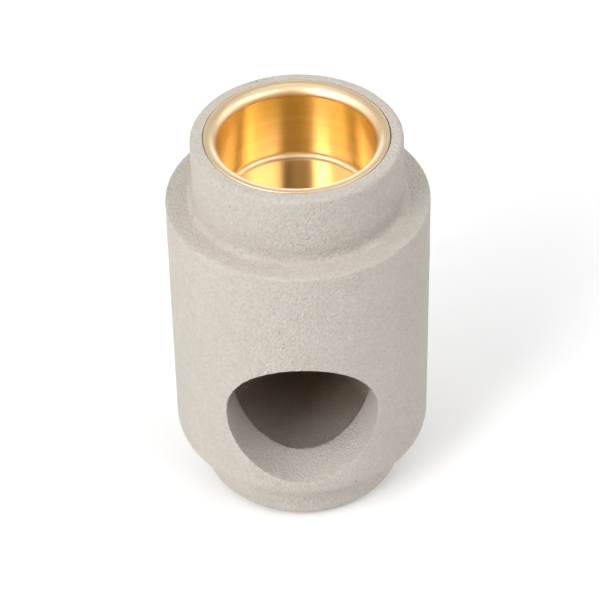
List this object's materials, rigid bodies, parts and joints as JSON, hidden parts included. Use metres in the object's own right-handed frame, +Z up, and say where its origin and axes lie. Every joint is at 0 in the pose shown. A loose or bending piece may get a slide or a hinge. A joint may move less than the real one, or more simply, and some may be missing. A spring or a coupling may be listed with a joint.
{
  "type": "oil burner",
  "caption": "Turned stone tealight oil burner with a round front window, an open chamber and a loose brass dish seated in its neck.",
  "frame": {"origin": "centre of the four pads' undersides, on the axis the body is turned about, at the level of the table", "axes": "+Z up along the axis of the body, -Y out through the middle of the window, +X to the right as seen from the window's side"},
  "size_m": [0.08, 0.08, 0.1287],
  "materials": {
    "stone": "raw matt, fine sandy grain with small dark specks and pits",
    "brass": "turned and brushed round its axis, satin rim",
    "pad": "satin translucent silicone"
  },
  "bodies": {
    "burner": {"stone_body": "stone", "foot_pad_1": "pad", "foot_pad_2": "pad", "foot_pad_3": "pad", "foot_pad_4": "pad"},
    "dish": {"brass_dish": "brass"}
  },
  "joints": [
    {"name": "dish_lift", "type": "slide", "parent": "burner", "child": "dish", "axis": [0, 0, 1], "range_m": [0, 0.05]}
  ]
}
